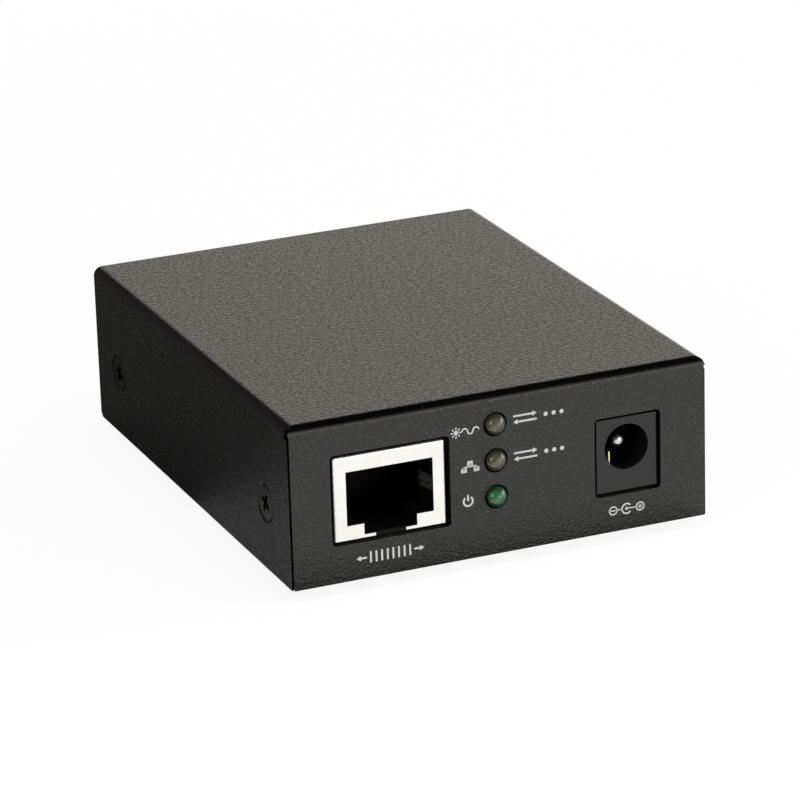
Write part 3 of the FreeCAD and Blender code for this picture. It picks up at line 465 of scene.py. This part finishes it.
def cut_by(mesh, tool_mesh):
    """The mesh with the tool's volume taken out of it."""
    body = add_object("body", mesh)
    tool = add_object("tool", tool_mesh)
    cut = body.modifiers.new("cut", "BOOLEAN")
    cut.operation = "DIFFERENCE"
    cut.solver = "EXACT"
    cut.use_self = True
    cut.object = tool
    bpy.context.view_layer.update()
    result = bpy.data.meshes.new_from_object(body.evaluated_get(bpy.context.evaluated_depsgraph_get()))
    for thing in (body, tool):
        bpy.data.objects.remove(thing)
    return result


def cross_recess(centre, inward):
    """The tool that cuts a driver's cross: two crossed bars that narrow inwards."""
    form = bmesh.new()
    for angle in (0, math.pi / 2):
        bar_verts = bmesh.ops.create_cube(form, size=1.0)["verts"]
        for vert in bar_verts:
            deep = vert.co.z > 0
            vert.co.x *= 2 * recess_reach * (recess_taper[0] if deep else 1.0)
            vert.co.y *= recess_width * (recess_taper[1] if deep else 1.0)
            vert.co.z = recess_depth if deep else -recess_depth
        bmesh.ops.rotate(form, cent=(0, 0, 0), matrix=Matrix.Rotation(angle, 3, "Z"), verts=bar_verts)
    form.transform(Matrix.Translation(centre) @ turned_to(inward) @ Matrix.Rotation(recess_turn, 4, "Z"))
    return mesh_from("recess", form)


def cover_screw(name, side, y, z):
    """A countersunk screw with a narrow groove round its head and a cross recess, worn bright on its floor."""
    low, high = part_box("cover_screws")
    inward = Vector((-side, 0, 0))
    head = Vector((high.x if side > 0 else low.x, y, z))
    radius = size_of("cover_screws").z / 2
    profile = [(0, 0), (radius - groove_width, 0), (radius - groove_floor, groove_depth),
               (screw_shank, head_depth), (screw_shank, screw_length - screw_point),
               (screw_shank - screw_point, screw_length), (0, screw_length)]
    mesh = cut_by(lathe(name, profile, head, inward, steps=56), cross_recess(head, inward))
    mesh.name = name
    piece = finish_piece(name, mesh, materials["black_screw"])
    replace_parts(piece, "cover_screws")
    mesh.materials.append(worn_steel)
    for face in mesh.polygons:
        deep = (face.center - head).dot(inward)
        off_axis = (face.center - head - inward * deep).length
        on_floor = recess_depth * worn_depth[0] < deep < recess_depth * worn_depth[1]
        if on_floor and off_axis < screw_shank * worn_reach:
            face.material_index = 1


def rubber_foot(node):
    """A soft foot with a rounded lower rim round a shallow hollow."""
    low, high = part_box(node)
    radius = (high.x - low.x) / 2
    height = high.z - low.z
    rim = radius - foot_taper
    profile = [(0, foot_hollow), (rim * hollow_reach[0], foot_hollow), (rim * hollow_reach[1], 0)]
    profile += arc(foot_round, (rim - foot_round, foot_round), -math.pi / 2, 0, count=6)
    profile += [(radius, height), (0, height)]
    middle = Vector(((low.x + high.x) / 2, (low.y + high.y) / 2, low.z))
    mesh = lathe(node + "_pad", profile, middle, (0, 0, 1))
    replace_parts(finish_piece(node + "_pad", mesh, materials["foot_rubber"]), node)


# ---- Print ----
left_x, front_y, edge_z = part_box("cover")[0]


def print_piece(name, outlines):
    """White ink on the front: each closed outline of (x, z) points is laid just proud of the face."""
    form = bmesh.new()
    for outline in outlines:
        face = form.faces.new([form.verts.new((x, front_y - print_rise, z)) for x, z in outline])
        grown = bmesh.ops.extrude_face_region(form, geom=[face])["geom"]
        moved = [item for item in grown if isinstance(item, bmesh.types.BMVert)]
        bmesh.ops.translate(form, vec=(0, print_rise, 0), verts=moved)
    bmesh.ops.recalc_face_normals(form, faces=form.faces)
    finish_piece(name, mesh_from(name, form), white_ink)


def bar(start, end, width):
    """A straight stroke with square ends."""
    (ax, az), (bx, bz) = start, end
    length = math.hypot(bx - ax, bz - az)
    sx, sz = -(bz - az) / length * width / 2, (bx - ax) / length * width / 2
    return [(ax + sx, az + sz), (bx + sx, bz + sz), (bx - sx, bz - sz), (ax - sx, az - sz)]


def ring(x, z, radius, width, start=0.0, end=2 * math.pi, count=28):
    """A ring or part of one, as quads."""
    inner, outer = radius - width / 2, radius + width / 2
    angles = [start + (end - start) * i / count for i in range(count + 1)]
    return [[(x + r * math.cos(angle), z + r * math.sin(angle))
             for r, angle in ((outer, a), (outer, b), (inner, b), (inner, a))]
            for a, b in zip(angles, angles[1:])]


def disc(x, z, radius, count=24):
    angles = [2 * math.pi * i / count for i in range(count)]
    return [[(x + radius * math.cos(a), z + radius * math.sin(a)) for a in angles]]


def box_outline(x, z, half_width, half_height):
    return [(x - half_width, z - half_height), (x + half_width, z - half_height),
            (x + half_width, z + half_height), (x - half_width, z + half_height)]


def arrow(x, z, length, direction):
    """A stroke with a solid head, pointing right for a direction of 1 and left for -1."""
    tip = x + direction * length / 2
    neck = tip - direction * print_height * 0.42
    head = [(tip, z), (neck, z + print_height * 0.24), (neck, z - print_height * 0.24)]
    return [bar((x - direction * length / 2, z), (neck, z), print_stroke), head]


def link_sign(x, z):
    """Two opposite arrows, one over the other, and three dots: traffic on a line."""
    length = 3.4 * MM
    step = print_height * 0.27
    first_dot, dot_pitch, dot_radius = 4.7, 1.15, 0.3 * MM
    outlines = arrow(x + length / 2, z + step, length, 1) + arrow(x + length / 2, z - step, length, -1)
    for i in range(3):
        outlines += disc(x + (first_dot + i * dot_pitch) * MM, z, dot_radius, count=16)
    return outlines


def ray_sign(x, z):
    """A source with short rays and a wavy line: light in a fibre."""
    source = x + 0.7 * MM
    ray_start, ray_end = 0.48 * MM, 0.74 * MM
    first_wave, wave_pitch, wave_radius = 1.95, 0.8, 0.4 * MM
    outlines = disc(source, z, 0.33 * MM, count=20)
    for i in range(8):
        a = i * math.pi / 4
        outlines.append(bar((source + ray_start * math.cos(a), z + ray_start * math.sin(a)),
                            (source + ray_end * math.cos(a), z + ray_end * math.sin(a)), print_stroke * 0.75))
    for i in range(3):
        half = (0, math.pi) if i % 2 == 0 else (math.pi, 2 * math.pi)
        middle = x + (first_wave + i * wave_pitch) * MM
        outlines += ring(middle, z, wave_radius, print_stroke * 0.8, *half, count=12)
    return outlines


def tree_sign(x, z):
    """One box joined to two: a wired network."""
    left, middle, right = x + 0.6 * MM, x + 1.5 * MM, x + 2.4 * MM
    half = print_height * 0.2
    reach = print_height * 0.3
    line = print_stroke * 0.6
    ends = ((middle, reach), (left, -reach), (right, -reach))
    outlines = [box_outline(box_x, z + rise, half * 1.3, half) for box_x, rise in ends]
    outlines.append(bar((left, z), (right, z), line))
    outlines += [bar((box_x, z), (box_x, z + rise), line) for box_x, rise in ends]
    return outlines


def power_sign(x, z):
    """An open ring with a bar through its gap."""
    middle = x + 1.9 * MM
    ring_z = z - 0.05 * MM
    gap = math.radians(38)
    outlines = ring(middle, ring_z, print_height * 0.42, print_stroke, math.pi / 2 + gap, 5 * math.pi / 2 - gap,
                    count=26)
    outlines.append(bar((middle, z), (middle, z + print_height * 0.55), print_stroke))
    return outlines


def polarity_sign(x, z, width):
    """Minus in a ring, a socket seen end-on, and plus in a ring, joined by a line."""
    radius = print_height * 0.36
    left, middle, right = x + radius, x + width / 2, x + width - radius
    arm = radius * 0.55
    socket = radius * 1.25
    fine, line = print_stroke * 0.7, print_stroke * 0.6
    outlines = ring(left, z, radius, fine) + ring(right, z, radius, fine)
    outlines.append(bar((left - arm, z), (left + arm, z), fine))
    outlines.append(bar((right - arm, z), (right + arm, z), fine))
    outlines.append(bar((right, z - arm), (right, z + arm), fine))
    outlines += ring(middle, z, socket, print_stroke * 0.8, math.radians(40), math.radians(320), count=24)
    outlines += disc(middle, z, radius * 0.42)
    outlines.append(bar((left + radius, z), (middle - socket, z), line))
    outlines.append(bar((middle, z), (right - radius, z), line))
    return outlines


def contact_sign(x, z, width):
    """Eight short bars between two arrows: the contacts of the socket above."""
    low, high = z - print_height / 2, z + print_height / 2
    first, last = x + width * 0.2, x + width * 0.8
    outlines = []
    for i in range(8):
        contact_x = first + (last - first) * i / 7
        outlines.append(bar((contact_x, low), (contact_x, high), print_stroke))
    for middle, direction in ((0.06, -1), (0.94, 1)):
        outlines += arrow(x + width * middle, z, width * 0.16, direction)
    return outlines


# ---- Pieces in their places ----
for node, finish in (("led_fibre", "smoke_lens"), ("led_lan", "smoke_lens"), ("led_power", "green_lens")):
    lamp(node, materials[finish])

power_pin()

screw_level = centre_of("cover_screws").z
for row_name, y in (("front", -screw_row), ("rear", screw_row)):
    for side_name, side in (("left", -1), ("right", 1)):
        cover_screw("cover_screw_" + row_name + "_" + side_name, side, y, screw_level)

for row_name in ("front", "rear"):
    for side_name in ("left", "right"):
        rubber_foot("foot_" + row_name + "_" + side_name)

fibre_level, lan_level, power_level = (centre_of("led_" + name).z for name in ("fibre", "lan", "power"))
# Each sign, in millimetres: how far it starts from the left edge, its level and its rise over that, its width.
for name, sign, right, level, rise, *width in (
        ("print_fibre", ray_sign, 22.9, fibre_level, -0.3),
        ("print_lan", tree_sign, 24.0, lan_level, -0.2),
        ("print_power", power_sign, 23.2, power_level, 0.1),
        ("print_fibre_link", link_sign, 31.8, fibre_level, 0.2),
        ("print_lan_link", link_sign, 31.8, lan_level, 0.1),
        ("print_contacts", contact_sign, 9.2, edge_z, 2.9, 9.3),
        ("print_polarity", polarity_sign, 45.6, edge_z, 3.0, 5.1)):
    print_piece(name, sign(left_x + right * MM, level + rise * MM, *(w * MM for w in width)))


# ---- Floor and light ----
def empty_material(name):
    """A node material with nothing in its tree."""
    made = bpy.data.materials.new(name)
    made.use_nodes = True
    made.node_tree.nodes.clear()
    return made, made.node_tree


def grey(level):
    return (level, level, level, 1)


def stage_piece(name, form, made):
    """A piece of the studio in its material."""
    mesh = mesh_from(name, form)
    mesh.materials.append(made)
    piece = add_object(name, mesh)
    return piece


def where_seen(tree, lit, seen, *ray_kinds):
    """The second shader for rays of these kinds, and the first for all others."""
    path = add(tree, "ShaderNodeLightPath").outputs
    share = path[ray_kinds[0]]
    for kind in ray_kinds[1:]:
        share = calculate(tree, "MAXIMUM", share, path[kind])
    return blend_shaders(tree, share, lit, seen)


def make_floor():
    """A white floor that keeps the part's shadow near it, turns plain white further off, and is clear from below."""
    form = bmesh.new()
    bmesh.ops.create_grid(form, x_segments=1, y_segments=1, size=floor_size)
    made, tree = empty_material("studio_floor")
    lit = add(tree, "ShaderNodeBsdfDiffuse", {"Color": grey(floor_white)}).outputs[0]
    shaded = add(tree, "ShaderNodeBsdfDiffuse", {"Color": grey(1 - floor_glow)}).outputs[0]
    glow = add(tree, "ShaderNodeEmission", {"Color": grey(1), "Strength": floor_glow + floor_lift}).outputs[0]
    near = add(tree, "ShaderNodeAddShader", {0: shaded, 1: glow}).outputs[0]
    white = add(tree, "ShaderNodeEmission", {"Color": grey(1), "Strength": 1.0}).outputs[0]
    place = add(tree, "ShaderNodeTexCoord").outputs["Object"]
    away = add(tree, "ShaderNodeVectorMath", {0: place}, operation="LENGTH").outputs["Value"]
    seen = blend_shaders(tree, spread(tree, away, 0.0, 1.0, *floor_fade), near, white)
    above = where_seen(tree, lit, seen, "Is Camera Ray", "Is Glossy Ray", "Is Transmission Ray")
    clear = add(tree, "ShaderNodeBsdfTransparent").outputs[0]
    from_below = add(tree, "ShaderNodeNewGeometry").outputs["Backfacing"]
    add(tree, "ShaderNodeOutputMaterial", {"Surface": blend_shaders(tree, from_below, above, clear)})
    stage_piece("studio_floor", form, made).location.z = -floor_gap


def make_world():
    """Pale walls that darken to the left, and a dark ceiling: white where the camera sees them."""
    world = bpy.data.worlds.new("studio")
    bpy.context.scene.world = world
    world.use_nodes = True
    tree = world.node_tree
    tree.nodes.clear()
    direction = parts_of(tree, add(tree, "ShaderNodeTexCoord").outputs["Generated"])
    wall = calculate(tree, "MULTIPLY", spread(tree, direction["X"], shade_side, 1.0, *shade_fade), low_sky)
    level = blend_levels(tree, spread(tree, direction["Z"], 0.0, 1.0, *sky_fade), wall, high_sky)
    lit = add(tree, "ShaderNodeBackground", {"Color": (*wall_tint, 1), "Strength": level}).outputs[0]
    white = add(tree, "ShaderNodeBackground", {"Color": grey(1), "Strength": 1.0}).outputs[0]
    surface = where_seen(tree, lit, white, "Is Camera Ray", "Is Transmission Ray")
    add(tree, "ShaderNodeOutputWorld", {"Surface": surface})


def make_painted_shadow_card():
    """A dark card, seen only in reflections, on the floor to the left, under the body and just in front of it:
    painted shadow, standing in for the part's shadow on the floor there.
    """
    half = size_of("cover") / 2
    beside_left = ((-card_reach, -card_front), (-half.x, card_reach))
    below = ((-half.x, -half.y - card_lead), (half.x, half.y))
    form = bmesh.new()
    for (left, front), (right, rear) in (beside_left, below):
        corners = ((left, front), (right, front), (right, rear), (left, rear))
        form.faces.new([form.verts.new((x, y, card_height)) for x, y in corners])
    made, tree = empty_material("painted_shadow_card")
    place = parts_of(tree, add(tree, "ShaderNodeTexCoord").outputs["Object"])
    # Painted shadow: grey in front of the edge, dark behind it, and darker still under the body as painted contact
    # shadow.
    tone = spread(tree, place["Y"], *card_tones, card_edge - card_blur, card_edge + card_blur)
    beside = spread(tree, place["X"], 1.0, card_shade, -half.x - card_rim, -half.x)
    matt = add(tree, "ShaderNodeBsdfDiffuse", {"Color": calculate(tree, "MULTIPLY", tone, beside)}).outputs[0]
    add(tree, "ShaderNodeOutputMaterial", {"Surface": matt})
    card = stage_piece("painted_shadow_card", form, made)
    card.visible_camera = False
    card.visible_shadow = False
    card.visible_diffuse = False


def soft_lamp(name, place, width, height, watts, mirrored):
    """A rectangular soft light that faces the part."""
    data = bpy.data.lights.new(name, "AREA")
    data.shape = "RECTANGLE"
    data.size = width
    data.size_y = height
    data.energy = watts
    soft = add_object(name, data)
    soft.location = place
    soft.rotation_euler = (Vector((0, 0, aim_height)) - Vector(place)).to_track_quat("-Z", "Y").to_euler()
    soft.visible_glossy = mirrored


def make_camera():
    back = Vector((math.sin(view_azimuth) * math.cos(view_elevation),
                   -math.cos(view_azimuth) * math.cos(view_elevation), math.sin(view_elevation)))
    level = Vector((0, 0, 1)).cross(back).normalized()
    upright = back.cross(level)
    right = level * math.cos(view_roll) + upright * math.sin(view_roll)
    up = upright * math.cos(view_roll) - level * math.sin(view_roll)
    place = Vector((0, 0, aim_height)) + back * view_distance + right * aim_right + up * aim_up
    data = bpy.data.cameras.new("camera")
    data.lens = view_lens
    data.sensor_width = sensor_width
    data.clip_start = clip_start
    camera = add_object("camera", data)
    camera.matrix_world = Matrix.Translation(place) @ Matrix((right, up, back)).transposed().to_4x4()
    bpy.context.scene.camera = camera


make_floor()
make_world()
make_painted_shadow_card()
for settings in soft_lamps:
    soft_lamp(*settings)
make_camera()
bpy.context.scene.view_settings.view_transform = "Standard"
